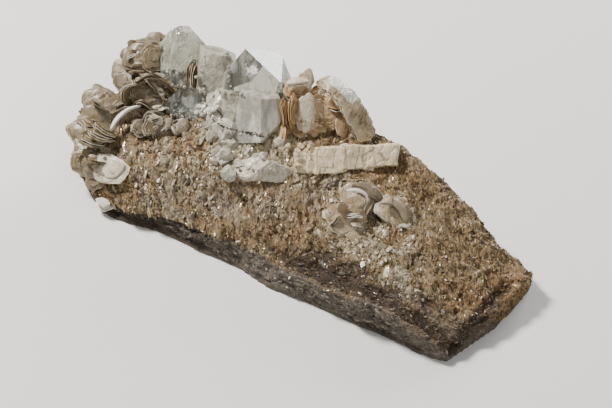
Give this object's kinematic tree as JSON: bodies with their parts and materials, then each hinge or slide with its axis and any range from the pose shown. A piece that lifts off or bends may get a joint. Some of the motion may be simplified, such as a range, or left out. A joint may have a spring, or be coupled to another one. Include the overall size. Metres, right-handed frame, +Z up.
{
  "type": "topaz crystal specimen on mica schist",
  "caption": "Natural topaz specimen: clear blocky crystals with quartz, albite and rosettes of muscovite along the crest of a long wedge-shaped block of mica schist that lies flat.",
  "frame": {"origin": "The middle of the bottom of the bounding box, on the plane that the block lies on.", "axes": "+X runs along the block from its thick end to its thin end, +Y from its gentle front slope to its steep back, +Z up. Towards the specimen's best side is about (0.42, -0.64, 0.64)."},
  "size_m": [0.1434, 0.057, 0.0402],
  "materials": {
    "schist": "rough",
    "topaz": "polished",
    "quartz": "satin",
    "albite": "satin",
    "muscovite": "satin",
    "dark_mineral": "satin"
  },
  "bodies": {
    "root": {"matrix": "schist", "topaz_large": "topaz", "topaz_front": "topaz", "topaz_peak": "topaz", "topaz_small": "topaz", "quartz_pale": "quartz", "quartz_front": "quartz", "quartz_knob": "quartz", "quartz_lens": "quartz", "quartz_pebble": "quartz", "quartz_bead": "quartz", "dark_crystal": "dark_mineral", "albite_bar": "albite", "mica_curved": "muscovite", "mica_standing": "muscovite", "mica_hood": "muscovite", "mica_rose": "muscovite", "mica_back": "muscovite", "mica_low": "muscovite", "mica_scales": "muscovite", "mica_right": "muscovite", "mica_rosette_left": "muscovite", "mica_rosette_right": "muscovite", "mica_corner_flake": "muscovite"}
  },
  "joints": []
}
